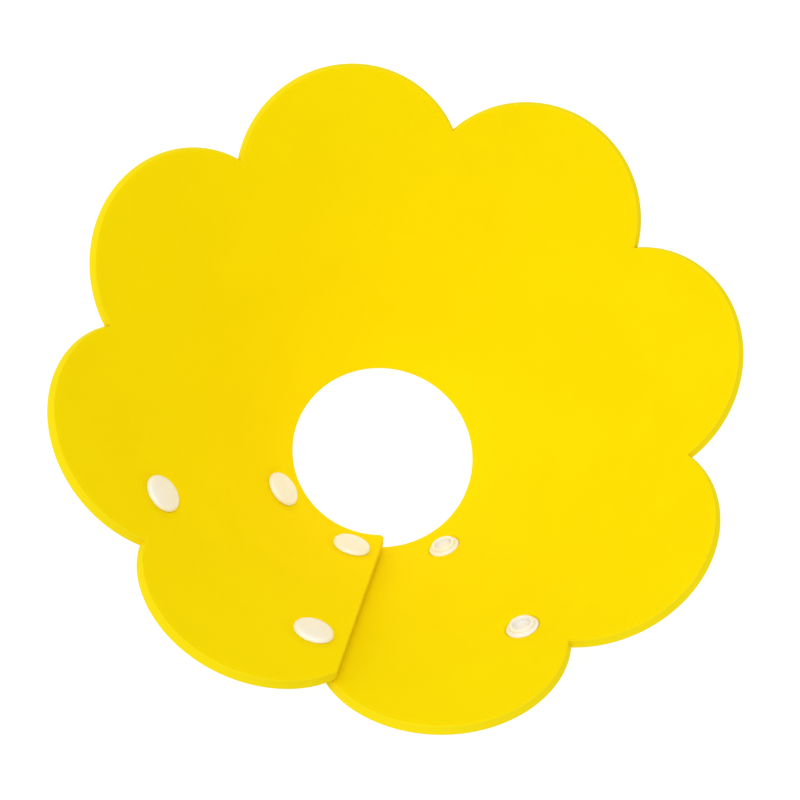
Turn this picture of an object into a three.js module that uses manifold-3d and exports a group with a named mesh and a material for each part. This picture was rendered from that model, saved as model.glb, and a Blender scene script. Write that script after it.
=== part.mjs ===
// A flower-shaped recovery collar: one die-cut foam sheet rolled into a cone and closed by snap fasteners.
//
// The sheet is a ring sector with eight rounded petals, which close the cone once, and a smaller closing
// tab, which lies behind the first petal. Flap A, which starts the sheet, lies inside; flap B, which ends
// it with the tab, lies outside.
// A place on the sheet is given by three numbers:
//   slant  distance from the cone's apex along the sheet
//   turn   angle in the flat sheet, counted from flap A's end
//   depth  distance through the sheet, from its inner face outwards
// Units are millimetres, +Z is up along the cone's axis, and the collar stands on its neck edge at z = 0.

import * as THREE from "three";
import { mergeVertices } from "three/addons/utils/BufferGeometryUtils.js";
import Module from "manifold-3d";

const wasm = await Module();
wasm.setup();

const DEGREE = Math.PI / 180;

// ---- the foam sheet ----
const FOAM = 3.0; // thickness of the sheet
const PETAL_TURN = 30 * DEGREE; // flat angle of one petal
const PETALS = 8; // petals, which close the cone once
const NECK_SLANT = 42.6; // radius of the neck edge in the flat sheet
const NOTCH_SLANT = 130; // radius of the notches between the petals
const PETAL_ARC = 35.5; // radius of a petal's round edge
const TAB_SLANT = 120; // radius of the closing tab's corners in the flat sheet
const TAB_ARC = 32.1; // radius of the tab's round edge
const FLAP_REACH = 7.0; // how far flap A's straight end runs on past its notch line, at the neck
const CORNER_BLUNT = 0.02; // share of that straight end that is cut off its sharp neck corner
const LAYER_STEP = 4.5; // distance between the two layers' inner faces where the flaps overlap
const FLAP_AZIMUTH = 270 * DEGREE; // direction of flap A's notch corner, seen from above

// ---- bending lines, where the sheet is cut into stiff panels ----
const FLAP_A_BEND = 20 * DEGREE;
const FLAP_B_BENDS = [170 * DEGREE, 200 * DEGREE, 230 * DEGREE];
const PANEL_GAP = 0.3; // gap between two panels

// ---- the snap fasteners ----
const COLUMN_INNER_TURN = 3.2 * DEGREE; // first column, at the inner row
const COLUMN_OUTER_TURN = 4.6 * DEGREE; // first column, at the outer row
const COLUMN_PITCH = 31.8 * DEGREE; // from one column to the next
const INNER_ROW = 53.4; // slant distance of the snaps near the neck
const OUTER_ROW = 112.4; // slant distance of the snaps near the rim
const CAP_RADIUS = 6.1;
const CAP_HEIGHT = 1.6; // crown above the foam's face
const CAP_CROWN = { radius: 4.9, drop: 0.35 }; // the nearly flat crown, and how much lower its edge is
const CAP_RIM = 0.3; // height and depth of the cap's upright rim, and its bevel
const PRONG_RADIUS = 1.05;
const PRONG_HOLE = 1.35;
const STUD_HEAD = { low: 3.1, high: 3.4, radius: 1.45 }; // the prong's pressed head in a stud
const SOCKET_HEAD = { low: 2.6, high: 2.9, radius: 1.9 }; // and in a socket
const FLANGE_RADIUS = 5.0;
const FLANGE_BACK = 2.0; // measured from the foam's face on the cap side
const FLANGE_FRONT = 2.8;
const BEVEL = 0.2; // on the flanges and the socket's boss
const STUD_NECK = { radius: 2.1, high: 3.2 };
const STUD_BULGE = { radius: 2.25, low: 3.6, high: 3.9 };
const STUD_TIP = { radius: 2.05, high: 4.3 };
const STUD_HOLLOW = { radius: 1.7, low: 2.9 };
const BOSS_RADIUS = 3.9;
const BOSS_TOP = 4.1;
const SOCKET_RADIUS = 2.85;
const SOCKET_FLOOR = 2.4;
const MOUTH = { flare: 0.25, depth: 0.3 }; // the socket's mouth opens out
const CLEARANCE = 0.3; // between a snap piece and the foam pressed in around it
const ROUND_SIDES = 20;
const CROWN_STEPS = 2;
const CAP_EDGE_STEPS = 3;

const CONE_SIN = PETALS * PETAL_TURN / (2 * Math.PI);
const CONE_COS = Math.sqrt(1 - CONE_SIN ** 2);
const FULL_TURN = PETALS * PETAL_TURN;
const SHEET_TURN = FULL_TURN + PETAL_TURN;
const REACH_TURN = FLAP_REACH / NECK_SLANT;

// ---- places on the rolled sheet ----

function azimuth(turn) {
  return FLAP_AZIMUTH - turn / CONE_SIN;
}

function along(turn) {
  const angle = azimuth(turn);
  return new THREE.Vector3(CONE_SIN * Math.cos(angle), CONE_SIN * Math.sin(angle), CONE_COS);
}

function outward(turn) {
  const angle = azimuth(turn);
  return new THREE.Vector3(CONE_COS * Math.cos(angle), CONE_COS * Math.sin(angle), -CONE_SIN);
}

function spiral(turn) {
  return LAYER_STEP * turn / FULL_TURN;
}

function heightAboveApex(slant, turn, depth) {
  return slant * CONE_COS - (spiral(turn) + depth) * CONE_SIN;
}

// the lowest point of the sheet is the hidden neck corner of flap B
const FLOOR = heightAboveApex(NECK_SLANT, SHEET_TURN, FOAM);

function place(slant, turn, depth) {
  const point = along(turn).multiplyScalar(slant);
  point.addScaledVector(outward(turn), spiral(turn) + depth);
  point.z -= FLOOR;
  return point;
}

// ---- outline of the flat sheet, as columns that run from the neck edge to the rim ----

const ARC_STEPS = 12;
const END_STEPS = 5;
const LEAST_STEP = 0.3 * DEGREE;
const NOTCH_SEARCH = 3 * DEGREE; // the tab's notch lies less than this past the last petal's corner
const NOTCH_PRECISION = 1e-9;

// a round edge between two corners that are one petal apart
function roundEdge(cornerSlant, radius) {
  const halfWidth = cornerSlant * Math.sin(PETAL_TURN / 2);
  const reach = cornerSlant * Math.cos(PETAL_TURN / 2);
  const centre = reach - Math.sqrt(radius ** 2 - halfWidth ** 2);
  return { radius, centre, halfAngle: Math.atan2(halfWidth, reach - centre) };
}

const PETAL_EDGE = roundEdge(NOTCH_SLANT, PETAL_ARC);
const TAB_EDGE = roundEdge(TAB_SLANT, TAB_ARC);

function lobeSlant(lobe, turn) {
  const { radius, centre } = lobe < PETALS ? PETAL_EDGE : TAB_EDGE;
  const off = turn - (lobe + 0.5) * PETAL_TURN;
  return centre * Math.cos(off) + Math.sqrt(radius ** 2 - (centre * Math.sin(off)) ** 2);
}

// turn of the notch between the last petal and the tab, found by halving: their edges cross there
function tabNotchTurn() {
  let [low, high] = [FULL_TURN, FULL_TURN + NOTCH_SEARCH];
  while (high - low > NOTCH_PRECISION) {
    const middle = (low + high) / 2;
    const petalIsOutside = lobeSlant(PETALS - 1, middle) > lobeSlant(PETALS, middle);
    [low, high] = petalIsOutside ? [middle, high] : [low, middle];
  }
  return low;
}

const TAB_TURN = tabNotchTurn();

function rimSlant(turn) {
  const petal = Math.min(Math.max(Math.floor(turn / PETAL_TURN), 0), PETALS - 1);
  return lobeSlant(turn > TAB_TURN ? PETALS : petal, turn);
}

// turns of the rim's points: steps along every petal's arc and the tab's, with every notch
function rimTurns() {
  const turns = [];
  for (let lobe = 0; lobe <= PETALS; lobe += 1) {
    const { radius, centre, halfAngle } = lobe < PETALS ? PETAL_EDGE : TAB_EDGE;
    for (let step = 0; step < ARC_STEPS; step += 1) {
      const angle = halfAngle * (2 * step / ARC_STEPS - 1);
      const off = Math.atan2(radius * Math.sin(angle), centre + radius * Math.cos(angle));
      turns.push((lobe + 0.5) * PETAL_TURN + off);
    }
  }
  return [
    ...turns.filter((turn) => turn < FULL_TURN - LEAST_STEP),
    FULL_TURN,
    TAB_TURN,
    ...turns.filter((turn) => turn > TAB_TURN + LEAST_STEP),
  ];
}

// a straight cut along a bending line; side is +1 or -1 for the panel after or before it
function bendColumn(turn, side) {
  const rim = rimSlant(turn);
  return {
    neckTurn: turn + side * Math.asin(PANEL_GAP / 2 / NECK_SLANT),
    rimTurn: turn + side * Math.asin(PANEL_GAP / 2 / rim),
    rimSlant: rim,
  };
}

// flap A's straight end, from its neck corner to its notch corner
function flapAEnd() {
  const columns = [];
  const cornerX = NECK_SLANT * Math.cos(REACH_TURN);
  const cornerY = NECK_SLANT * Math.sin(REACH_TURN);
  for (let step = 0; step <= END_STEPS; step += 1) {
    const share = CORNER_BLUNT + (1 - CORNER_BLUNT) * step / END_STEPS;
    const x = cornerX + (NOTCH_SLANT - cornerX) * share;
    const y = cornerY * (1 - share);
    const turn = -Math.atan2(y, x);
    columns.push({ neckTurn: turn, rimTurn: turn, rimSlant: Math.hypot(x, y) });
  }
  return columns;
}

// flap B's straight end, one petal past the last notch
function flapBEnd() {
  return [{ neckTurn: SHEET_TURN, rimTurn: SHEET_TURN, rimSlant: TAB_SLANT }];
}

function panelColumns(from, to) {
  const first = from === null ? flapAEnd() : [bendColumn(from, 1)];
  const last = to === null ? flapBEnd() : [bendColumn(to, -1)];
  const start = first.at(-1).rimTurn + LEAST_STEP;
  const stop = last[0].rimTurn - LEAST_STEP;
  const middle = rimTurns().filter((turn) => turn > start && turn < stop);
  const inner = middle.map((turn) => ({ neckTurn: turn, rimTurn: turn, rimSlant: rimSlant(turn) }));
  return [...first, ...inner, ...last];
}

// ---- solids ----

function quad(list, a, b, c, d) {
  list.push(a, b, c, a, c, d);
}

function geometryOf(points) {
  const geometry = new THREE.BufferGeometry();
  const values = points.flatMap((point) => [point.x, point.y, point.z]);
  geometry.setAttribute("position", new THREE.Float32BufferAttribute(values, 3));
  return geometry;
}

function panelGeometry(columns) {
  const rings = columns.map((column) => [
    place(NECK_SLANT, column.neckTurn, 0),
    place(column.rimSlant, column.rimTurn, 0),
    place(column.rimSlant, column.rimTurn, FOAM),
    place(NECK_SLANT, column.neckTurn, FOAM),
  ]);
  const points = [];
  for (let index = 0; index + 1 < rings.length; index += 1) {
    for (let corner = 0; corner < 4; corner += 1) {
      const next = (corner + 1) % 4;
      const [here, there] = [rings[index], rings[index + 1]];
      quad(points, here[corner], there[corner], there[next], here[next]);
    }
  }
  quad(points, ...rings[0]);
  quad(points, ...rings.at(-1).slice().reverse());
  return geometryOf(points);
}

function solidOf(geometry) {
  const bare = geometry.clone();
  bare.deleteAttribute("normal");
  bare.deleteAttribute("uv");
  const merged = mergeVertices(bare, 1e-5);
  const mesh = new wasm.Mesh({
    numProp: 3,
    vertProperties: new Float32Array(merged.attributes.position.array),
    triVerts: new Uint32Array(merged.index.array),
  });
  return new wasm.Manifold(mesh);
}

function geometryFrom(solid) {
  const mesh = solid.getMesh();
  const geometry = new THREE.BufferGeometry();
  geometry.setAttribute("position", new THREE.BufferAttribute(mesh.vertProperties, 3));
  geometry.setIndex(new THREE.BufferAttribute(mesh.triVerts, 1));
  return geometry;
}

// a turned piece: the outline is [radius, height] pairs, and the axis is +Z
function turned(outline, sides = ROUND_SIDES) {
  const profile = outline.map(([radius, height]) => new THREE.Vector2(radius, height));
  return new THREE.LatheGeometry(profile, sides).rotateX(Math.PI / 2);
}

function drum(radius, low, high) {
  return turned([[0, low], [radius, low], [radius, high], [0, high]]);
}

// ---- snap pieces, in a frame whose z = 0 is the foam's face on the cap side, +Z into the foam ----

function capGeometry(head) {
  const dome = [];
  for (let step = 0; step < CROWN_STEPS; step += 1) {
    const share = step / CROWN_STEPS;
    dome.push([CAP_CROWN.radius * share, CAP_CROWN.drop * share ** 2 - CAP_HEIGHT]);
  }
  const width = CAP_RADIUS - CAP_CROWN.radius;
  const height = CAP_HEIGHT - CAP_CROWN.drop - CAP_RIM;
  for (let step = 0; step <= CAP_EDGE_STEPS; step += 1) {
    const angle = step * 90 * DEGREE / CAP_EDGE_STEPS;
    dome.push([CAP_CROWN.radius + width * Math.sin(angle), -CAP_RIM - height * Math.cos(angle)]);
  }
  return turned([
    ...dome,
    [CAP_RADIUS, 0],
    [CAP_RADIUS - CAP_RIM, CAP_RIM],
    [PRONG_RADIUS, CAP_RIM],
    [PRONG_RADIUS, head.low],
    [head.radius, head.low],
    [head.radius, head.high],
    [0, head.high],
  ]);
}

function flangeOutline() {
  return [
    [PRONG_HOLE, FLANGE_BACK],
    [FLANGE_RADIUS - BEVEL, FLANGE_BACK],
    [FLANGE_RADIUS, FLANGE_BACK + BEVEL],
    [FLANGE_RADIUS, FLANGE_FRONT - BEVEL],
    [FLANGE_RADIUS - BEVEL, FLANGE_FRONT],
  ];
}

function studGeometry() {
  return turned([
    ...flangeOutline(),
    [STUD_NECK.radius, FLANGE_FRONT],
    [STUD_NECK.radius, STUD_NECK.high],
    [STUD_BULGE.radius, STUD_BULGE.low],
    [STUD_BULGE.radius, STUD_BULGE.high],
    [STUD_TIP.radius, STUD_TIP.high],
    [STUD_HOLLOW.radius, STUD_TIP.high],
    [STUD_HOLLOW.radius, STUD_HOLLOW.low],
    [PRONG_HOLE, STUD_HOLLOW.low],
    [PRONG_HOLE, FLANGE_BACK],
  ]);
}

function socketGeometry() {
  return turned([
    ...flangeOutline(),
    [BOSS_RADIUS, FLANGE_FRONT],
    [BOSS_RADIUS, BOSS_TOP - BEVEL],
    [BOSS_RADIUS - BEVEL, BOSS_TOP],
    [SOCKET_RADIUS + MOUTH.flare, BOSS_TOP],
    [SOCKET_RADIUS, BOSS_TOP - MOUTH.depth],
    [SOCKET_RADIUS, SOCKET_FLOOR],
    [PRONG_HOLE, SOCKET_FLOOR],
    [PRONG_HOLE, FLANGE_BACK],
  ]);
}

// ---- stations: one cap and one stud or socket each ----

function station(flap, column, row) {
  const rowTurn = row === "inner" ? COLUMN_INNER_TURN : COLUMN_OUTER_TURN;
  const slant = row === "inner" ? INNER_ROW : OUTER_ROW;
  const offset = (column - 1) * COLUMN_PITCH;
  const turn = flap === "a" ? rowTurn + offset : FULL_TURN + rowTurn - offset;
  // caps of flap A are on the inner face, caps of flap B on the outer face
  const into = outward(turn).multiplyScalar(flap === "a" ? 1 : -1);
  const slope = along(turn);
  const across = new THREE.Vector3().crossVectors(into, slope);
  const frame = new THREE.Matrix4().makeBasis(slope, across, into);
  frame.setPosition(place(slant, turn, flap === "a" ? 0 : FOAM));
  return { name: `${flap}${column}_${row}`, flap, turn, frame };
}

const STATIONS = [];
for (const flap of ["a", "b"]) {
  for (const column of [1, 2]) {
    for (const row of ["inner", "outer"]) {
      STATIONS.push(station(flap, column, row));
    }
  }
}

// ---- materials ----

function foamMaterial() {
  return new THREE.MeshStandardMaterial({ color: 0xfbdc00, roughness: 0.85, metalness: 0 });
}

function snapMaterial() {
  return new THREE.MeshStandardMaterial({ color: 0xf6ebc4, roughness: 0.35, metalness: 0 });
}

// ---- assembly ----

const collar = new THREE.Group();

function addMesh(name, geometry, material, frame) {
  geometry.computeVertexNormals();
  const mesh = new THREE.Mesh(geometry, material);
  mesh.name = name;
  if (frame) {
    frame.decompose(mesh.position, mesh.quaternion, mesh.scale);
  }
  collar.add(mesh);
}

function addPanel(name, from, to) {
  let solid = solidOf(panelGeometry(panelColumns(from, to)));
  for (const { turn, frame } of STATIONS) {
    if (turn < (from ?? 0) || turn > (to ?? SHEET_TURN)) {
      continue;
    }
    const tools = [
      drum(CAP_RADIUS + CLEARANCE, -FOAM, CAP_RIM + CLEARANCE),
      drum(PRONG_RADIUS + CLEARANCE, -FOAM, 2 * FOAM),
      drum(FLANGE_RADIUS + CLEARANCE, FLANGE_BACK - CLEARANCE, 2 * FOAM),
    ];
    for (const tool of tools) {
      solid = solid.subtract(solidOf(tool.applyMatrix4(frame)));
    }
  }
  addMesh(name, geometryFrom(solid), foamMaterial());
}

addPanel("foam_flap_a_tip", null, FLAP_A_BEND);
addPanel("foam_body", FLAP_A_BEND, FLAP_B_BENDS[0]);
addPanel("foam_flap_b_root", FLAP_B_BENDS[0], FLAP_B_BENDS[1]);
addPanel("foam_flap_b_middle", FLAP_B_BENDS[1], FLAP_B_BENDS[2]);
addPanel("foam_flap_b_tip", FLAP_B_BENDS[2], null);

for (const { name, flap, frame } of STATIONS) {
  if (flap === "a") {
    addMesh(`snap_cap_${name}`, capGeometry(STUD_HEAD), snapMaterial(), frame);
    addMesh(`snap_stud_${name}`, studGeometry(), snapMaterial(), frame);
  } else {
    addMesh(`snap_cap_${name}`, capGeometry(SOCKET_HEAD), snapMaterial(), frame);
    addMesh(`snap_socket_${name}`, socketGeometry(), snapMaterial(), frame);
  }
}

export default collar;
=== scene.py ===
"""The looks of a flower-shaped recovery collar: a rolled EVA foam sheet closed by plastic snap fasteners.

The foam sheet is drawn flat, as it is cut, and every point of it is then rolled onto the cone. A point of the
flat sheet is (x, y), measured from the cone's apex, and its depth goes from the inner face outwards. Its turn
is its angle in the flat sheet, counted from flap A's end, and its slant is its distance from the apex.
Lengths are in metres, and MM turns millimetres into them.
"""

import math

import bpy
import numpy as np
from mathutils import Matrix, Vector
from mathutils.geometry import delaunay_2d_cdt


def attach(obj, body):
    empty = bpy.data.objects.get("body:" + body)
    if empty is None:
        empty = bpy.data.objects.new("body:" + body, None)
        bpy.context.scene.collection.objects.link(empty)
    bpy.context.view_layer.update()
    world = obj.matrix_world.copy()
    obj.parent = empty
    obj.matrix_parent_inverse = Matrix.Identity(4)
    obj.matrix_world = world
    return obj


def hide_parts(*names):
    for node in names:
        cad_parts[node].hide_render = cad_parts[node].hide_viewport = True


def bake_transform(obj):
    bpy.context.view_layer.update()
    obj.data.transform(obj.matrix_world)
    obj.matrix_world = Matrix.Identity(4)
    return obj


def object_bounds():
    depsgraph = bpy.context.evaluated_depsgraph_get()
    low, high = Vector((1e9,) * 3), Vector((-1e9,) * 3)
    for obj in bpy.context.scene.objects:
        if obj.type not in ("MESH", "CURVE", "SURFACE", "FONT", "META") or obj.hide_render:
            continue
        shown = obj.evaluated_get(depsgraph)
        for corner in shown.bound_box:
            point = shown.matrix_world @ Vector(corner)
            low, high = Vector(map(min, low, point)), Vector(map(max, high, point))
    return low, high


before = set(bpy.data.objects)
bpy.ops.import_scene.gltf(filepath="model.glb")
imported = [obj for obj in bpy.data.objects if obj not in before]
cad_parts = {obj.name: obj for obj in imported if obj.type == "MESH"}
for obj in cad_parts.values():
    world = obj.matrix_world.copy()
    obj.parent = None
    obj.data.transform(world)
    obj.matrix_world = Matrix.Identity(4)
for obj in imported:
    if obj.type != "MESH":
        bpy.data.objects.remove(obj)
CAD_BOX = [list(corner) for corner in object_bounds()]

MM = 0.001
DEGREE = math.pi / 180

# ---- the flat sheet, as the CAD model has it ----
FOAM = 3.0 * MM  # thickness
PETAL_TURN = 30 * DEGREE
PETALS = 8  # petals, which close the cone once; the sheet's last lobe is the smaller closing tab
NECK_SLANT = 42.6 * MM
NOTCH_SLANT = 130 * MM
PETAL_ARC = 35.5 * MM
TAB_SLANT = 120 * MM
TAB_ARC = 32.1 * MM
FLAP_REACH = 7.0 * MM  # flap A reaches this far past its petal, at the neck
CORNER_BLUNT = 0.02  # flap A's neck corner is blunted by this share of the flap's end
LAYER_STEP = 4.5 * MM  # the sheet moves outwards by this much in one turn of the cone
FLAP_AZIMUTH = 270 * DEGREE

CONE_SIN = PETALS * PETAL_TURN / (2 * math.pi)
CONE_COS = math.sqrt(1 - CONE_SIN**2)
FULL_TURN = PETALS * PETAL_TURN
SHEET_TURN = FULL_TURN + PETAL_TURN
TURN_CUT = 60 * DEGREE  # turns run from -60 degrees to 300 degrees
NOTCH_SEARCH = 3 * DEGREE  # the tab's notch lies within this of the last petal's even share
NOTCH_PRECISION = 1e-9  # in radians
SAME_TURN = 1e-6  # turns that are closer than this are the same, in radians

# ---- the foam's mesh ----
EDGE_ROUND = 0.35 * MM  # radius along the die-cut edges
EDGE_HOLLOW = 0.10 * MM  # a die-cut edge is slightly hollow at mid thickness
EDGE_STEP = 0.9 * MM  # spacing of the points along the edges
FACE_STEP = 1.6 * MM  # spacing of the points on the faces
ROW_SHARE = math.sqrt(0.75)  # the rows of even triangles are this share of their side apart
LATTICE_GAP = 0.6 * FACE_STEP  # the even points keep this far from an outline and from a seam's columns
RING_GAP = 0.5 * FACE_STEP  # and this far from a snap's rings
SEAM_STEPS = (0.3 * MM, 0.9 * MM)  # closer columns of points beside a seam
COLUMN_GAP = 2 * EDGE_STEP  # the columns end this far from the rim and the neck
EDGE_ROUND_STEPS = 4  # of the mesh, in each rounded edge
LEAST_TURN = 0.15 * DEGREE  # points of the rim keep this far from a seam
LEAST_GAP = 0.25 * MM  # points of a face keep this far from its outline
FOAM_SHARP = 50 * DEGREE  # the foam's edge is drawn sharp where its faces turn by more
LEAST_AREA = 2e-4 * MM**2  # a thinner triangle only joins points of one straight line
TRIANGLE_TOLERANCE = 1e-6  # in millimetres
CHUNK = 200  # points compared at a time
SKIN, CUT, SECTION = range(3)  # kinds of polygon: a face, a cut edge or a hole's wall, a seam's flat section

# ---- the snap fasteners ----
COLUMN_INNER_TURN = 3.2 * DEGREE
COLUMN_OUTER_TURN = 4.6 * DEGREE
COLUMN_PITCH = 31.8 * DEGREE
INNER_ROW = 53.4 * MM
OUTER_ROW = 112.4 * MM
HOLE_RADIUS = 1.35 * MM
CAP_SEAT = 0.32 * MM  # the foam under a cap, below its free face
CAP_SEAT_RADIUS = 6.15 * MM
FLANGE_SEAT = 1.98 * MM  # the foam under a flange, measured from the cap side
FLANGE_SEAT_RADIUS = 5.1 * MM
SEAT_WALL = 0.5 * MM  # width of the steep wall around a seat
DIMPLE_SHARE = 0.22  # share of a flange's depth that is lost in the wide dimple, not in the wall
DIMPLE_RADIUS = 9.0 * MM  # the pressed-in foam ends here
SNAP_REACH = 2 * DIMPLE_RADIUS  # foam further away than this belongs to another part of the cone
ROUND_SIDES = 64
RING_POINTS = 56  # points of a circle of the foam's mesh around a snap
RING_RADII = [2.4, 3.6, 4.6, 5.1, 5.2, 5.3, 5.4, 5.5, 5.65, 5.9, 6.15, 6.5, 7.0, 7.6, 8.3, 9.0]  # millimetres
SNAP_SHARP = 40 * DEGREE  # a snap's edge is drawn sharp where its faces turn by more


# ---- rolling the sheet ----


def azimuth(turn):
    """The direction around the cone's axis."""
    return FLAP_AZIMUTH - turn / CONE_SIN


def along(turn):
    """The direction down the slope, from the apex to the rim."""
    angle = azimuth(np.asarray(turn, float))
    return np.stack([CONE_SIN * np.cos(angle), CONE_SIN * np.sin(angle), np.full_like(angle, CONE_COS)], -1)


def outward(turn):
    """The direction out of the sheet's outer face."""
    angle = azimuth(np.asarray(turn, float))
    return np.stack([CONE_COS * np.cos(angle), CONE_COS * np.sin(angle), np.full_like(angle, -CONE_SIN)], -1)


FLOOR = NECK_SLANT * CONE_COS - (LAYER_STEP * SHEET_TURN / FULL_TURN + FOAM) * CONE_SIN


def place(slant, turn, depth):
    """The place on the cone: the sheet winds outwards as it turns, so that its ends overlap."""
    slant, turn, depth = np.broadcast_arrays(*(np.asarray(v, float) for v in (slant, turn, depth)))
    lift = LAYER_STEP * turn / FULL_TURN + depth
    point = slant[..., None] * along(turn) + lift[..., None] * outward(turn)
    point[..., 2] -= FLOOR
    return point


def rolled(flat, depth):
    """The places on the cone of points of the flat sheet."""
    turn = np.mod(np.arctan2(flat[:, 1], flat[:, 0]) + TURN_CUT, 2 * math.pi) - TURN_CUT
    return place(np.hypot(flat[:, 0], flat[:, 1]), turn, depth)


def flat_point(slant, turn):
    """A point of the flat sheet."""
    return np.array([slant * math.cos(turn), slant * math.sin(turn)])


# ---- the outline: each point has its outward miter, which an even inset follows ----


def miter(first, second):
    """The miter of a corner, from the outward directions of its two edges."""
    return (first + second) / (1 + first @ second)


class Lobe:
    """A petal, or the closing tab: a round edge between two corners that are one petal apart."""

    def __init__(self, index):
        self.middle = (index + 0.5) * PETAL_TURN
        corner, self.radius = (NOTCH_SLANT, PETAL_ARC) if index < PETALS else (TAB_SLANT, TAB_ARC)
        half_width = corner * math.sin(PETAL_TURN / 2)
        reach = corner * math.cos(PETAL_TURN / 2)
        self.centre = reach - math.sqrt(self.radius**2 - half_width**2)
        self.start = index * PETAL_TURN
        self.stop = self.start + PETAL_TURN

    def slant(self, turn):
        """The slant of its edge."""
        off = turn - self.middle
        return self.centre * math.cos(off) + math.sqrt(self.radius**2 - (self.centre * math.sin(off)) ** 2)

    def corner(self, turn):
        """The point of its edge."""
        return flat_point(self.slant(turn), turn)

    def out(self, point):
        """The outward direction at a point of its edge."""
        return (point - flat_point(self.centre, self.middle)) / self.radius

    def angle(self, turn):
        """The angle of its edge's point around its centre, from its middle line."""
        x, y = self.out(self.corner(turn))
        return math.remainder(math.atan2(y, x) - self.middle, 2 * math.pi)

    def arc(self):
        """The points of the edge between its two corners."""
        first, last = self.angle(self.start), self.angle(self.stop)
        steps = round((last - first) * self.radius / EDGE_STEP)
        angles = [first + (last - first) * step / steps for step in range(1, steps)]
        centre = flat_point(self.centre, self.middle)
        return [centre + flat_point(self.radius, self.middle + angle) for angle in angles]


LOBES = [Lobe(index) for index in range(PETALS + 1)]
TAB = LOBES[-1]
LAST_PETAL = LOBES[-2]


def tab_notch_turn():
    """The turn of the notch between the last petal and the tab, found by halving: their edges cross there."""
    low, high = FULL_TURN, FULL_TURN + NOTCH_SEARCH
    while high - low > NOTCH_PRECISION:
        middle = (low + high) / 2
        if LAST_PETAL.slant(middle) > TAB.slant(middle):
            low = middle
        else:
            high = middle
    return low


TAB.start = LAST_PETAL.stop = tab_notch_turn()


def flap_a_corner():
    """The neck corner of flap A's straight end, a little blunted, and the end's outward direction."""
    notch = flat_point(NOTCH_SLANT, 0)
    sharp = flat_point(NECK_SLANT, -FLAP_REACH / NECK_SLANT)
    run = (notch - sharp) / np.linalg.norm(notch - sharp)
    return sharp + (notch - sharp) * CORNER_BLUNT, np.array([run[1], -run[0]])


def rim_chain(start, stop):
    """The rim's points from one turn to another, with their miters."""
    chain = []
    for before, lobe in zip([None, *LOBES], LOBES):
        if before and start < lobe.start - LEAST_TURN and lobe.start + LEAST_TURN < stop:
            corner = before.corner(lobe.start)
            chain.append((corner, miter(before.out(corner), lobe.out(corner))))
        for point in lobe.arc():
            turn = math.atan2(point[1], point[0]) % (2 * math.pi)
            if start + LEAST_TURN < turn < stop - LEAST_TURN:
                chain.append((point, lobe.out(point)))
    return chain


def rim_end(turn):
    """The rim's point at a seam, with its miter."""
    index = math.floor(turn / PETAL_TURN + SAME_TURN)
    lobe = LOBES[index]
    point = lobe.corner(turn)
    if abs(turn - lobe.start) < SAME_TURN:
        return point, miter(LOBES[index - 1].out(point), lobe.out(point))
    return point, lobe.out(point)


def neck_point(turn):
    """The neck's point, with its outward direction."""
    return flat_point(NECK_SLANT, turn), -flat_point(1, turn)


def straight(start, stop, step):
    """Points on a straight line, about a step apart, without its two ends."""
    count = max(1, round(np.linalg.norm(stop - start) / step))
    return [start + (stop - start) * index / count for index in range(1, count)]


def flap_a_end():
    """Flap A's straight end, from the neck to the rim."""
    corner, end_out = flap_a_corner()
    neck_out = -flat_point(1, math.atan2(corner[1], corner[0]))
    notch = flat_point(NOTCH_SLANT, 0)
    return [
        (corner, miter(neck_out, end_out)),
        *((point, end_out) for point in straight(corner, notch, EDGE_STEP)),
        (notch, miter(end_out, LOBES[0].out(notch))),
    ]


def tab_end():
    """The closing tab's straight end, from the rim to the neck."""
    rim = flat_point(TAB_SLANT, SHEET_TURN)
    neck = flat_point(NECK_SLANT, SHEET_TURN)
    end_out = flat_point(1, SHEET_TURN + math.pi / 2)
    return [
        (rim, miter(TAB.out(rim), end_out)),
        *((point, end_out) for point in straight(rim, neck, EDGE_STEP)),
        (neck, miter(end_out, -flat_point(1, SHEET_TURN))),
    ]


def seam_line(turn):
    """A seam, from the rim to the neck; the points between have no miter."""
    rim, rim_out = rim_end(turn)
    neck, neck_out = neck_point(turn)
    between = straight(rim - rim_out * EDGE_ROUND, neck - neck_out * EDGE_ROUND, FACE_STEP)
    return [(rim, rim_out), *((point, None) for point in between), (neck, neck_out)]


def piece_outline(start, stop):
    """The outline of the sheet between two seams, counter-clockwise: (point, miter), and None at a seam."""
    last_turn = SHEET_TURN if stop is None else stop
    last_end = tab_end() if stop is None else seam_line(stop)
    if start is None:
        first_end = flap_a_end()
        corner = first_end[0][0]
        first_turn = math.atan2(corner[1], corner[0])
    else:
        first_end = seam_line(start)[::-1]
        first_turn = start
    rim = rim_chain(0 if start is None else start, last_turn)
    count = round((last_turn - first_turn) * NECK_SLANT / EDGE_STEP)
    turns = [last_turn + (first_turn - last_turn) * index / count for index in range(1, count)]
    neck = [neck_point(turn) for turn in turns]
    return [first_end[-1], *rim, *last_end, *neck, *first_end[:-1]]


# ---- snap stations: z = 0 is the foam's face on the cap side, and +z goes into the foam ----


def smooth(share):
    """An even ramp from 0 to 1, level at both its ends."""
    return share * share * (3 - 2 * share)


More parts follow.
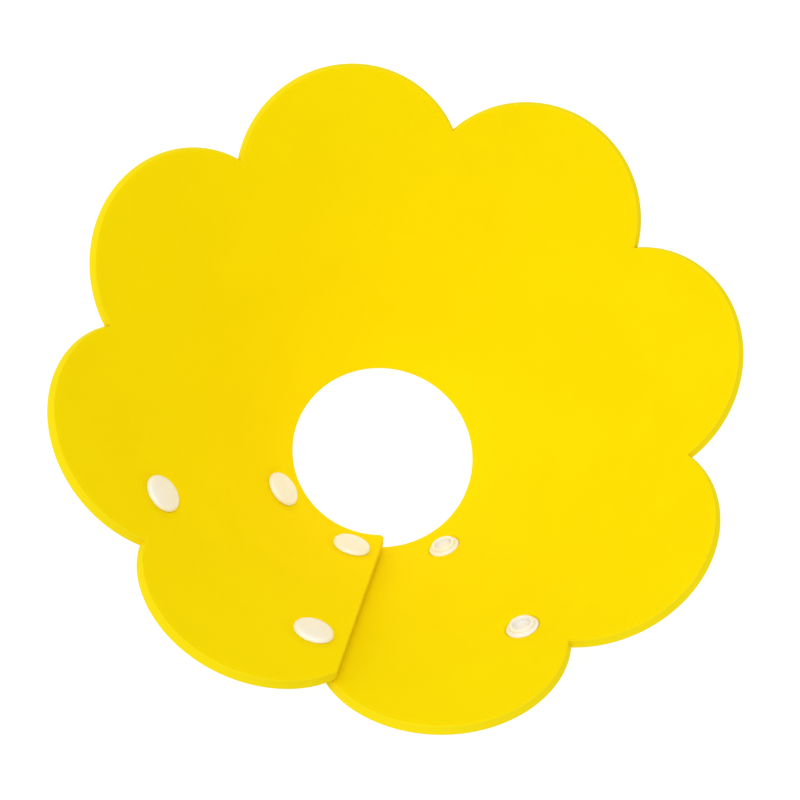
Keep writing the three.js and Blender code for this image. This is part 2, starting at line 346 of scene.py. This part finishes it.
class Station:
    """The place of one snap: its flap is a or b, its column 1 or 2, and its row inner or outer."""

    def __init__(self, flap, column, row):
        row_turn = COLUMN_INNER_TURN if row == "inner" else COLUMN_OUTER_TURN
        slant = INNER_ROW if row == "inner" else OUTER_ROW
        offset = (column - 1) * COLUMN_PITCH
        turn = row_turn + offset if flap == "a" else FULL_TURN + row_turn - offset
        into = outward(turn) * (1 if flap == "a" else -1)
        slope = along(turn)
        self.name = f"{flap}{column}_{row}"
        self.flap = flap
        self.turn = turn
        self.flat = flat_point(slant, turn)
        self.axes = np.stack([slope, np.cross(into, slope), into], 1)
        self.origin = place(slant, turn, 0 if flap == "a" else FOAM)

    def matrix(self):
        """Its place, for the snap pieces."""
        result = Matrix(self.axes.tolist()).to_4x4()
        result.translation = Vector(self.origin)
        return result

    def press(self, points, cap_side):
        """The points of one face of the foam, pressed in under this snap."""
        local = (points - self.origin) @ self.axes
        radius = np.hypot(local[:, 0], local[:, 1])
        seat = CAP_SEAT if cap_side else FLANGE_SEAT
        seat_radius = CAP_SEAT_RADIUS if cap_side else FLANGE_SEAT_RADIUS
        share = np.clip((radius - seat_radius) / SEAT_WALL, 0, 1)
        steep = 1 - smooth(share)
        reach = np.clip((DIMPLE_RADIUS - radius) / (DIMPLE_RADIUS - seat_radius), 0, 1)
        # most of the depth is lost in the steep wall, and the rest in a wide soft dimple
        wide = 1.0 if cap_side else DIMPLE_SHARE
        weight = steep * (1 - wide) + wide * smooth(reach)
        weight = np.where(radius <= seat_radius, 1.0, weight)
        local[:, 2] += weight * (seat - local[:, 2])
        near = np.linalg.norm(points - self.origin, axis=1) < SNAP_REACH
        pressed = local @ self.axes.T + self.origin
        return np.where((near & (radius < DIMPLE_RADIUS))[:, None], pressed, points)


STATIONS = [Station(flap, column, row) for flap in "ab" for column in (1, 2) for row in ("inner", "outer")]


def link(name, data):
    """A new object in the scene."""
    thing = bpy.data.objects.new(name, data)
    bpy.context.scene.collection.objects.link(thing)
    return thing


# ---- foam pieces ----


def circle(centre, radius):
    """A circle of points on the flat sheet."""
    angles = np.arange(RING_POINTS) * 2 * math.pi / RING_POINTS
    return centre + radius * np.stack([np.cos(angles), np.sin(angles)], 1)


def face_points(outline, stations, seams):
    """Points spread over a face: rings around the snaps, columns beside the seams, a lattice elsewhere."""
    close = [circle(station.flat, radius * MM) for station in stations for radius in RING_RADII]
    columns = []
    for seam, side in seams:
        across = flat_point(1, seam + side * math.pi / 2)
        rim, rim_out = rim_end(seam)
        start = rim - rim_out * COLUMN_GAP
        stop = flat_point(NECK_SLANT + COLUMN_GAP, seam)
        line = np.array([start, *straight(start, stop, FACE_STEP), stop])
        columns += [line + across * step for step in SEAM_STEPS]
    low, high = outline.min(0), outline.max(0)
    rows = []
    for index in range(int((high[1] - low[1]) / (FACE_STEP * ROW_SHARE)) + 1):
        xs = np.arange(low[0] + (index % 2) * FACE_STEP / 2, high[0], FACE_STEP)
        rows.append(np.stack([xs, np.full_like(xs, low[1] + index * FACE_STEP * ROW_SHARE)], 1))
    lattice = np.concatenate(rows)
    lattice = lattice[inside(lattice, outline)]
    lattice = lattice[nearest(lattice, outline) > LATTICE_GAP]
    for station in stations:
        lattice = lattice[np.linalg.norm(lattice - station.flat, axis=1) > DIMPLE_RADIUS + RING_GAP]
    if columns:
        lattice = lattice[nearest(lattice, np.concatenate(columns)) > LATTICE_GAP]
    close = np.concatenate([*close, *columns])
    close = close[inside(close, outline) & (nearest(close, outline) > LEAST_GAP)]
    return np.concatenate([close, lattice])


def inside(points, polygon):
    """Which points lie inside a closed outline."""
    result = np.zeros(len(points), bool)
    ends = np.roll(polygon, -1, 0)
    for (x0, y0), (x1, y1) in zip(polygon, ends):
        crosses = (y0 > points[:, 1]) != (y1 > points[:, 1])
        if y0 != y1:
            result ^= crosses & (points[:, 0] < x0 + (points[:, 1] - y0) * (x1 - x0) / (y1 - y0))
    return result


def nearest(points, others):
    """Each point's distance to the nearest of the others."""
    distance = np.full(len(points), np.inf)
    for start in range(0, len(others), CHUNK):
        gap = points[:, None] - others[None, start : start + CHUNK]
        distance = np.minimum(distance, np.hypot(gap[..., 0], gap[..., 1]).min(1))
    return distance


def edge_profile():
    """A cut edge from the inner face to the outer one: (inset, depth), without its two ends."""
    quarter = [90 * step / EDGE_ROUND_STEPS * DEGREE for step in range(1, EDGE_ROUND_STEPS + 1)]
    rounded = [(EDGE_ROUND * (1 - math.sin(a)), EDGE_ROUND * (1 - math.cos(a))) for a in quarter]
    flat_part = FOAM - 2 * EDGE_ROUND
    shares = (0.25, 0.5, 0.75)
    hollow = [(EDGE_HOLLOW * math.sin(share * math.pi), EDGE_ROUND + flat_part * share) for share in shares]
    mirrored = [(inset, FOAM - depth) for inset, depth in reversed(rounded)]
    return rounded + hollow + mirrored


def triangulated(outline, holes, others):
    """A face's points and triangles, and the indices of its outline's points and of each hole's."""
    flat = np.concatenate([outline, *holes, others])
    loops, first = [], 0
    for loop in (outline, *holes):
        loops.append(list(range(first, first + len(loop))))
        first += len(loop)
    edges = [(loop[i], loop[(i + 1) % len(loop)]) for loop in loops for i in range(len(loop))]
    # the points are given in millimetres, for the tolerance
    points = [Vector(point / MM) for point in flat]
    _, _, faces, origins, _, _ = delaunay_2d_cdt(points, edges, [], 0, TRIANGLE_TOLERANCE)
    flat = flat[[origin[0] for origin in origins]]
    new_index = {old: new for new, origin in enumerate(origins) for old in origin}
    loops = [[new_index[i] for i in loop] for loop in loops]

    triangles = np.array([face for face in faces if len(face) == 3])
    keep = inside(flat[triangles].mean(1), outline)
    # a triangle with all its corners on one hole's edge lies in the hole
    hole = np.full(len(flat), -1)
    for number, loop in enumerate(loops[1:]):
        hole[loop] = number
    corners = hole[triangles]
    keep &= (corners[:, 0] < 0) | (corners.min(1) != corners.max(1))
    triangles = triangles[keep]
    a, b, c = (flat[triangles[:, k]] for k in range(3))
    doubled = (b - a)[:, 0] * (c - a)[:, 1] - (b - a)[:, 1] * (c - a)[:, 0]
    triangles[doubled < 0] = triangles[doubled < 0][:, ::-1]
    return flat, triangles[abs(doubled) > LEAST_AREA], loops


def edge_columns(entries, border, count):
    """The cut edge's columns: the flat place and depths of each, and its indices from face to face."""
    profile = edge_profile()
    depths = np.array([depth for _, depth in profile])
    sections, columns = [], {}
    base = 2 * count
    for index, (point, out) in enumerate(entries):
        if out is None:
            continue
        section = np.array([point - out * inset for inset, _ in profile])
        sections.append((section, depths))
        columns[index] = [border[index], *range(base, base + len(profile)), border[index] + count]
        base += len(profile)
    return sections, columns


def edge_polygons(columns, total):
    """The die-cut edge: a rounded strip between the two faces."""
    polygons = []
    for index in range(total):
        here, there = columns.get(index), columns.get((index + 1) % total)
        if here and there:
            polygons += [(here[k], there[k], there[k + 1], here[k + 1]) for k in range(len(here) - 1)]
    return polygons


def seam_polygons(entries, columns, border, count):
    """The flat sections at the seams, where a piece meets the next one."""
    total = len(entries)
    polygons = []
    for index in range(total):
        if entries[index][1] is None or entries[(index + 1) % total][1] is not None:
            continue
        seam = [index]
        while entries[(seam[-1] + 1) % total][1] is None:
            seam.append((seam[-1] + 1) % total)
        seam.append((seam[-1] + 1) % total)
        low = [border[i] for i in seam]
        section = low + columns[seam[-1]][1:-1] + [v + count for v in reversed(low)]
        section += columns[seam[0]][-2:0:-1]
        polygons.append(tuple(section))
    return polygons


def hole_polygons(rings, count):
    """The walls of the prong holes."""
    polygons = []
    for ring in rings:
        for here, there in zip(ring, ring[1:] + ring[:1]):
            polygons.append((there, here, here + count, there + count))
    return polygons


def foam_piece(name, start, stop, materials):
    """The sheet between two seams, where None is the sheet's own end."""
    entries = piece_outline(start, stop)
    outline = np.array([p if out is None else p - out * EDGE_ROUND for p, out in entries])
    stations = [s for s in STATIONS if (start is None or s.turn > start) and (stop is None or s.turn < stop)]
    seams = [(seam, side) for seam, side in ((start, 1), (stop, -1)) if seam is not None]
    holes = [circle(station.flat, HOLE_RADIUS) for station in stations]
    flat, triangles, (border, *rings) = triangulated(outline, holes, face_points(outline, stations, seams))

    inner, outer = rolled(flat, 0), rolled(flat, FOAM)
    for station in stations:
        inner = station.press(inner, station.flap == "a")
        outer = station.press(outer, station.flap == "b")
    count = len(flat)
    sections, columns = edge_columns(entries, border, count)
    points = [inner, outer, *(rolled(section, depths) for section, depths in sections)]
    sheet = [np.column_stack([flat, np.full(count, depth)]) for depth in (0, FOAM)]
    sheet += [np.column_stack(section) for section in sections]

    polygons, kinds = [], []
    for kind, group in (
        (SKIN, [tuple(t[::-1]) for t in triangles.tolist()]),
        (SKIN, [tuple(v + count for v in t) for t in triangles.tolist()]),
        (CUT, edge_polygons(columns, len(entries))),
        (SECTION, seam_polygons(entries, columns, border, count)),
        (CUT, hole_polygons(rings, count)),
    ):
        polygons += group
        kinds += [kind] * len(group)

    mesh = bpy.data.meshes.new(name)
    mesh.from_pydata(np.concatenate(points).tolist(), [], polygons)
    attribute = mesh.attributes.new("sheet", "FLOAT_VECTOR", "POINT")
    attribute.data.foreach_set("vector", np.concatenate(sheet).astype(np.float32).ravel())
    mesh.polygons.foreach_set("use_smooth", [kind != SECTION for kind in kinds])
    mesh.polygons.foreach_set("material_index", [int(kind != SKIN) for kind in kinds])
    for material in materials:
        mesh.materials.append(material)
    mesh.validate()
    mesh.set_sharp_from_angle(angle=FOAM_SHARP)
    mesh.update()
    return link(name, mesh)


# ---- snap pieces, turned around their axis: radii and heights are in millimetres, as in the CAD model ----

CAP_RADIUS = 6.1
CAP_TOP = -1.6
CROWN_RADIUS = 4.9  # the cap's nearly flat crown
CROWN_EDGE = -1.25
CROWN_STEPS = 10  # of the mesh, across the crown
CROWN_END = -82  # degrees: the soft rim takes over from the crown here
CAP_WIDEST = -0.1
CAP_BACK_ROUND = 0.35
PRONG_RADIUS = 1.05
PRONG_ROOT = 0.3
PRONG_HOLE = 1.35
STUD_HEAD = {"low": 3.1, "high": 3.4, "radius": 1.45}  # the prong's pressed head in a stud
SOCKET_HEAD = {"low": 2.6, "high": 2.9, "radius": 1.9}  # and in a socket
HEAD_ROUND = 0.15
FLANGE_RADIUS = 5.0
FLANGE_BACK = 2.0
FLANGE_FRONT = 2.8
STUD_NECK = 2.1
STUD_FILLET = 0.25
STUD_BULGE = {"radius": 2.25, "height": 3.75, "round": (0.25, 0.35)}
STUD_TIP = {"radius": 2.05, "high": 4.3}
STUD_HOLLOW = {"radius": 1.7, "low": 2.9}
BOSS_RADIUS = 3.9
BOSS_TOP = 4.1
BOSS_FILLET = 0.15
BOSS_ROUND = 0.4
MOUTH_ROUND = 0.25
SOCKET_RADIUS = 2.85
SOCKET_FLOOR = 2.4
SMALL_ROUND = 0.1


def arc(centre, radius, start, stop, steps):
    """Points of an elliptical arc; radius is (across, up), and the angles are in degrees."""
    angles = [(start + (stop - start) * step / steps) * DEGREE for step in range(steps + 1)]
    return [(centre[0] + radius[0] * math.cos(a), centre[1] + radius[1] * math.sin(a)) for a in angles]


def turned(name, outline, station, material):
    """A round piece: its outline of (radius, height), turned around its snap's axis."""
    points, rows = [], []
    for radius, height in outline:
        if radius == 0:
            rows.append([len(points)])
            points.append((0, 0, height * MM))
            continue
        rows.append(list(range(len(points), len(points) + ROUND_SIDES)))
        for side in range(ROUND_SIDES):
            angle = 2 * math.pi * side / ROUND_SIDES
            points.append((radius * MM * math.cos(angle), radius * MM * math.sin(angle), height * MM))
    has_hole = len(rows[0]) > 1
    polygons = []
    for low, high in zip(rows, rows[1:] + rows[:1] if has_hole else rows[1:]):
        for side in range(ROUND_SIDES):
            after = (side + 1) % ROUND_SIDES
            if len(low) == 1:
                polygons.append((low[0], high[after], high[side]))
            elif len(high) == 1:
                polygons.append((low[side], low[after], high[0]))
            else:
                polygons.append((low[side], low[after], high[after], high[side]))
    mesh = bpy.data.meshes.new(name)
    mesh.from_pydata(points, [], polygons)
    mesh.materials.append(material)
    mesh.shade_smooth()
    mesh.set_sharp_from_angle(angle=SNAP_SHARP)
    mesh.update()
    piece = link(name, mesh)
    piece.matrix_world = station.matrix()
    return piece


def cap_outline(head):
    """A cap: a nearly flat crown with a soft rim, its prong, and the prong's pressed head."""
    shares = [step / CROWN_STEPS for step in range(CROWN_STEPS)]
    crown = [(CROWN_RADIUS * share, CAP_TOP + (CROWN_EDGE - CAP_TOP) * share**2) for share in shares]
    edge_size = (CAP_RADIUS - CROWN_RADIUS, CAP_WIDEST - CROWN_EDGE)
    back = (CAP_RADIUS - CAP_BACK_ROUND, CAP_WIDEST)
    head_edge = (head["radius"] - HEAD_ROUND, head["low"] + HEAD_ROUND)
    return [
        *crown,
        *arc((CROWN_RADIUS, CAP_WIDEST), edge_size, CROWN_END, 0, steps=12),
        *arc(back, (CAP_BACK_ROUND, CAP_BACK_ROUND), 0, 90, steps=4)[1:],
        (PRONG_RADIUS + PRONG_ROOT, PRONG_ROOT),
        (PRONG_RADIUS, 2 * PRONG_ROOT),
        (PRONG_RADIUS, head["low"]),
        *arc(head_edge, (HEAD_ROUND, HEAD_ROUND), -90, 90, steps=5),
        (0, head["high"]),
    ]


def flange_outline():
    """The flat ring against the foam, with a round edge."""
    half = (FLANGE_FRONT - FLANGE_BACK) / 2
    bead = arc((FLANGE_RADIUS - half, FLANGE_BACK + half), (half, half), -90, 90, steps=8)
    return [(PRONG_HOLE, FLANGE_BACK), *bead]


def fillet(radius, size):
    """The rounded root of a wall that stands on the flange."""
    return arc((radius + size, FLANGE_FRONT + size), (size, size), -90, -180, steps=4)


def lip(radius, top, size):
    """The rounded outer edge at the top of a wall."""
    return arc((radius - size, top - size), (size, size), 0, 90, steps=6)


def stud_outline():
    """The male half: a hollow post with a bulge, which snaps into a socket."""
    bulge = STUD_BULGE
    return [
        *flange_outline(),
        *fillet(STUD_NECK, STUD_FILLET),
        *arc((bulge["radius"] - bulge["round"][0], bulge["height"]), bulge["round"], -60, 60, steps=6),
        *lip(STUD_TIP["radius"], STUD_TIP["high"], SMALL_ROUND),
        (STUD_HOLLOW["radius"] + SMALL_ROUND, STUD_TIP["high"]),
        (STUD_HOLLOW["radius"], STUD_TIP["high"] - SMALL_ROUND),
        (STUD_HOLLOW["radius"], STUD_HOLLOW["low"]),
        (PRONG_HOLE, STUD_HOLLOW["low"]),
    ]


def socket_outline():
    """The female half: an open boss with a rounded mouth."""
    mouth_centre = (SOCKET_RADIUS + MOUTH_ROUND, BOSS_TOP - MOUTH_ROUND)
    return [
        *flange_outline(),
        *fillet(BOSS_RADIUS, BOSS_FILLET),
        *lip(BOSS_RADIUS, BOSS_TOP, BOSS_ROUND),
        *arc(mouth_centre, (MOUTH_ROUND, MOUTH_ROUND), 90, 180, steps=4),
        (SOCKET_RADIUS, SOCKET_FLOOR + SMALL_ROUND),
        (SOCKET_RADIUS - SMALL_ROUND, SOCKET_FLOOR),
        (PRONG_HOLE, SOCKET_FLOOR),
    ]


# ---- materials ----

FOAM_COLOURS = (0.92, 0.715, 0.0), (0.945, 0.74, 0.0)
CUT_COLOURS_WITH_PAINTED_SHADE = (0.88, 0.695, 0.004), (0.92, 0.73, 0.006)  # painted shade: the cut edges' colours are a little darker than the faces' colours
FOAM_SPECULAR = 0.05
FOAM_ROUGHNESS = (0.78, 0.94)
MOTTLE_SIZE = 36 * MM  # the foam's broad, faint mottling
MOTTLE_RELIEF = 0.25 * MM
MOTTLE_STRENGTH = 0.35  # of the bump, as the other strengths are
SKIN_GRAIN, SKIN_RELIEF = 0.55 * MM, 0.03 * MM
CUT_GRAIN, CUT_RELIEF = 0.8 * MM, 0.08 * MM
GRAIN_STRENGTH = 0.7
PLASTIC_COLOURS = (0.92, 0.885, 0.825), (0.94, 0.905, 0.85)
PLASTIC_SPECULAR = 0.45
PLASTIC_ROUGHNESS = (0.26, 0.38)
PLASTIC_FLOW = 4.5 * MM  # size of the flow marks
PLASTIC_GRAIN, PLASTIC_RELIEF = 0.4 * MM, 0.01 * MM
PLASTIC_STRENGTH = 0.3
TRANSLUCENCE = 0.25
LIGHT_REACH = (1.0, 0.85, 0.6)  # how far red, green and blue light travel in the plastic, of the depth
LIGHT_DEPTH = 0.8 * MM
NOISE_RANGE = (0.3, 0.7)  # where most of a noise's values lie
NOISE_ROUGHNESS = 0.6
MIX_FACTOR, MIX_FIRST, MIX_SECOND, MIX_RESULT = 0, 6, 7, 2  # the sockets of a Mix node of colours


def new_material(name):
    """A material, with its nodes and its links."""
    material = bpy.data.materials.new(name)
    material.use_nodes = True
    return material, material.node_tree.nodes, material.node_tree.links


def noise(nodes, links, vector, size, detail):
    """A noise value; size is how far apart its marks are."""
    node = nodes.new("ShaderNodeTexNoise")
    node.inputs["Scale"].default_value = 1 / size
    node.inputs["Detail"].default_value = detail
    node.inputs["Roughness"].default_value = NOISE_ROUGHNESS
    links.new(vector, node.inputs["Vector"])
    return node.outputs["Fac"]


def ranged(nodes, links, value, low, high):
    """A noise value, spread from low to high."""
    node = nodes.new("ShaderNodeMapRange")
    for socket, number in zip(("From Min", "From Max", "To Min", "To Max"), (*NOISE_RANGE, low, high)):
        node.inputs[socket].default_value = number
    links.new(value, node.inputs["Value"])
    return node.outputs["Result"]


def mixed(nodes, links, value, colours):
    """A colour between two colours, by a noise value."""
    node = nodes.new("ShaderNodeMix")
    node.data_type = "RGBA"
    node.inputs[MIX_FIRST].default_value = (*colours[0], 1)
    node.inputs[MIX_SECOND].default_value = (*colours[1], 1)
    links.new(ranged(nodes, links, value, 0, 1), node.inputs[MIX_FACTOR])
    return node.outputs[MIX_RESULT]


def bump(nodes, links, height, distance, strength, normal=None):
    """A surface direction, roughened by a height, over another one if given."""
    node = nodes.new("ShaderNodeBump")
    node.inputs["Distance"].default_value = distance
    node.inputs["Strength"].default_value = strength
    links.new(height, node.inputs["Height"])
    if normal:
        links.new(normal, node.inputs["Normal"])
    return node.outputs["Normal"]


def foam_material(name, colours, grain, relief):
    """Closed-cell foam: a fine matt grain over a broad, faint mottling. grain is the cells' size."""
    material, nodes, links = new_material(name)
    shader = nodes["Principled BSDF"]
    shader.inputs["Specular IOR Level"].default_value = FOAM_SPECULAR
    sheet = nodes.new("ShaderNodeAttribute")
    sheet.attribute_name = "sheet"
    broad = noise(nodes, links, sheet.outputs["Vector"], MOTTLE_SIZE, detail=3)
    fine = noise(nodes, links, sheet.outputs["Vector"], grain, detail=4)
    links.new(mixed(nodes, links, broad, colours), shader.inputs["Base Color"])
    links.new(ranged(nodes, links, fine, *FOAM_ROUGHNESS), shader.inputs["Roughness"])
    skin = bump(nodes, links, fine, relief, GRAIN_STRENGTH)
    links.new(bump(nodes, links, broad, MOTTLE_RELIEF, MOTTLE_STRENGTH, skin), shader.inputs["Normal"])
    return material


def snap_material():
    """Moulded cream plastic, a little translucent: satin gloss, with faint flow marks."""
    material, nodes, links = new_material("snap_plastic")
    shader = nodes["Principled BSDF"]
    shader.inputs["Specular IOR Level"].default_value = PLASTIC_SPECULAR
    shader.inputs["Subsurface Weight"].default_value = TRANSLUCENCE
    shader.inputs["Subsurface Radius"].default_value = LIGHT_REACH
    shader.inputs["Subsurface Scale"].default_value = LIGHT_DEPTH
    coordinates = nodes.new("ShaderNodeTexCoord").outputs["Object"]
    broad = noise(nodes, links, coordinates, PLASTIC_FLOW, detail=2)
    fine = noise(nodes, links, coordinates, PLASTIC_GRAIN, detail=3)
    links.new(mixed(nodes, links, broad, PLASTIC_COLOURS), shader.inputs["Base Color"])
    links.new(ranged(nodes, links, fine, *PLASTIC_ROUGHNESS), shader.inputs["Roughness"])
    links.new(bump(nodes, links, fine, PLASTIC_RELIEF, PLASTIC_STRENGTH), shader.inputs["Normal"])
    return material


# ---- assembly ----

foam_skin = foam_material("foam_skin", FOAM_COLOURS, SKIN_GRAIN, SKIN_RELIEF)
# the cut edges get the slightly darker colours, which are painted shade
foam_cut = foam_material("foam_cut_edge", CUT_COLOURS_WITH_PAINTED_SHADE, CUT_GRAIN, CUT_RELIEF)
plastic = snap_material()

# name, first seam, last seam, CAD node, bodies before and after the bending line, bending line;
# the seams and the bending lines are turns in degrees
FOAM_PIECES = [
    ("foam_flap_a", None, 60, "foam_flap_a_tip", "flap_a_tip", "collar_body", 20),
    ("foam_back", 60, 150, "foam_body", "collar_body", None, None),
    ("foam_flap_b_start", 150, 185, "foam_flap_b_root", "collar_body", "flap_b_root", 170),
    ("foam_flap_b_centre", 185, 221.5, "foam_flap_b_middle", "flap_b_root", "flap_b_middle", 200),
    ("foam_flap_b_end", 221.5, None, "foam_flap_b_tip", "flap_b_middle", "flap_b_tip", 230),
]

for name, first, last, node, before, after, bend in FOAM_PIECES:
    seams = [None if seam is None else seam * DEGREE for seam in (first, last)]
    piece = foam_piece(name, *seams, (foam_skin, foam_cut))
    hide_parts(node)
    if bend is None:
        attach(piece, before)
        continue
    line = place(NECK_SLANT, bend * DEGREE, FOAM / 2)
    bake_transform(piece)

STATION_BODIES = {"a1": "flap_a_tip", "a2": "collar_body", "b1": "flap_b_tip", "b2": "flap_b_middle"}

for station in STATIONS:
    half = "stud" if station.flap == "a" else "socket"
    head = STUD_HEAD if half == "stud" else SOCKET_HEAD
    outline = stud_outline() if half == "stud" else socket_outline()
    cap = turned(f"cap_{station.name}", cap_outline(head), station, plastic)
    mate = turned(f"{half}_{station.name}", outline, station, plastic)
    for piece, node in ((cap, f"snap_cap_{station.name}"), (mate, f"snap_{half}_{station.name}")):
        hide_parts(node)
        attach(piece, STATION_BODIES[station.name[:2]])


# ---- floor, light and camera ----

WHITE = (1, 1, 1, 1)
FLOOR_HALF = 30.0  # so wide that low views see no sky
FLOOR_GAP = 0.2 * MM  # below the collar
FLOOR_GREY = 0.3
FLOOR_ROUGHNESS = 0.9
FLOOR_GLOW = 0.85  # with this the floor is white even in the collar's shade
SKY = 0.66
LIGHT_AIM = Vector((0, 0, 0.04))
# name, place, diameter, power; in metres and watts
LIGHTS = [("overhead", (-0.1, 0.0, 1.3), 0.8, 5.8), ("key", (-0.95, -0.4, 1.05), 0.6, 2.3)]
CAMERA_AIM = Vector((2.07, 9.41, 33.62)) * MM
CAMERA_DISTANCE = 572.5 * MM
CAMERA_ELEVATION = 70.58 * DEGREE
CAMERA_RIGHT = 3.32 * DEGREE  # it looks along +y, turned this much to the right
CAMERA_ROLL = -15.56 * DEGREE
LENS = 80.63  # millimetres, as is the sensor's width
SENSOR = 36


def add_floor():
    """A white floor just under the collar."""
    material, nodes, _ = new_material("floor_white")
    shader = nodes["Principled BSDF"]
    shader.inputs["Base Color"].default_value = (FLOOR_GREY, FLOOR_GREY, FLOOR_GREY, 1)
    shader.inputs["Roughness"].default_value = FLOOR_ROUGHNESS
    shader.inputs["Emission Color"].default_value = WHITE
    shader.inputs["Emission Strength"].default_value = FLOOR_GLOW
    mesh = bpy.data.meshes.new("floor")
    corners = [(x * FLOOR_HALF, y * FLOOR_HALF, 0) for x, y in ((-1, -1), (1, -1), (1, 1), (-1, 1))]
    mesh.from_pydata(corners, [], [(0, 1, 2, 3)])
    mesh.materials.append(material)
    floor = link("floor", mesh)
    floor.location.z = CAD_BOX[0][2] - FLOOR_GAP


def add_lights():
    """A soft white studio: an even sky and two large round lamps."""
    world = bpy.data.worlds.new("studio")
    world.use_nodes = True
    background = world.node_tree.nodes["Background"]
    background.inputs["Color"].default_value = WHITE
    background.inputs["Strength"].default_value = SKY
    bpy.context.scene.world = world
    for name, spot, size, power in LIGHTS:
        data = bpy.data.lights.new(name, "AREA")
        data.shape = "DISK"
        data.size = size
        data.energy = power
        lamp = link(name, data)
        lamp.location = spot
        lamp.rotation_euler = (LIGHT_AIM - Vector(spot)).to_track_quat("-Z", "Y").to_euler()


def add_camera():
    """The photo's view, steeply down into the collar."""
    level = math.cos(CAMERA_ELEVATION)
    heading = math.sin(CAMERA_RIGHT), math.cos(CAMERA_RIGHT)
    forward = Vector((heading[0] * level, heading[1] * level, -math.sin(CAMERA_ELEVATION)))
    right = forward.cross(Vector((0, 0, 1))).normalized()
    up = right.cross(forward)
    rolled_up = up * math.cos(CAMERA_ROLL) + right * math.sin(CAMERA_ROLL)
    rolled_right = right * math.cos(CAMERA_ROLL) - up * math.sin(CAMERA_ROLL)
    data = bpy.data.cameras.new("camera")
    data.lens = LENS
    data.sensor_width = SENSOR
    camera = link("camera", data)
    axes = Matrix((rolled_right, rolled_up, -forward)).transposed().to_4x4()
    axes.translation = CAMERA_AIM - forward * CAMERA_DISTANCE
    camera.matrix_world = axes
    bpy.context.scene.camera = camera


add_floor()
add_lights()
add_camera()
bpy.context.scene.view_settings.view_transform = "Standard"
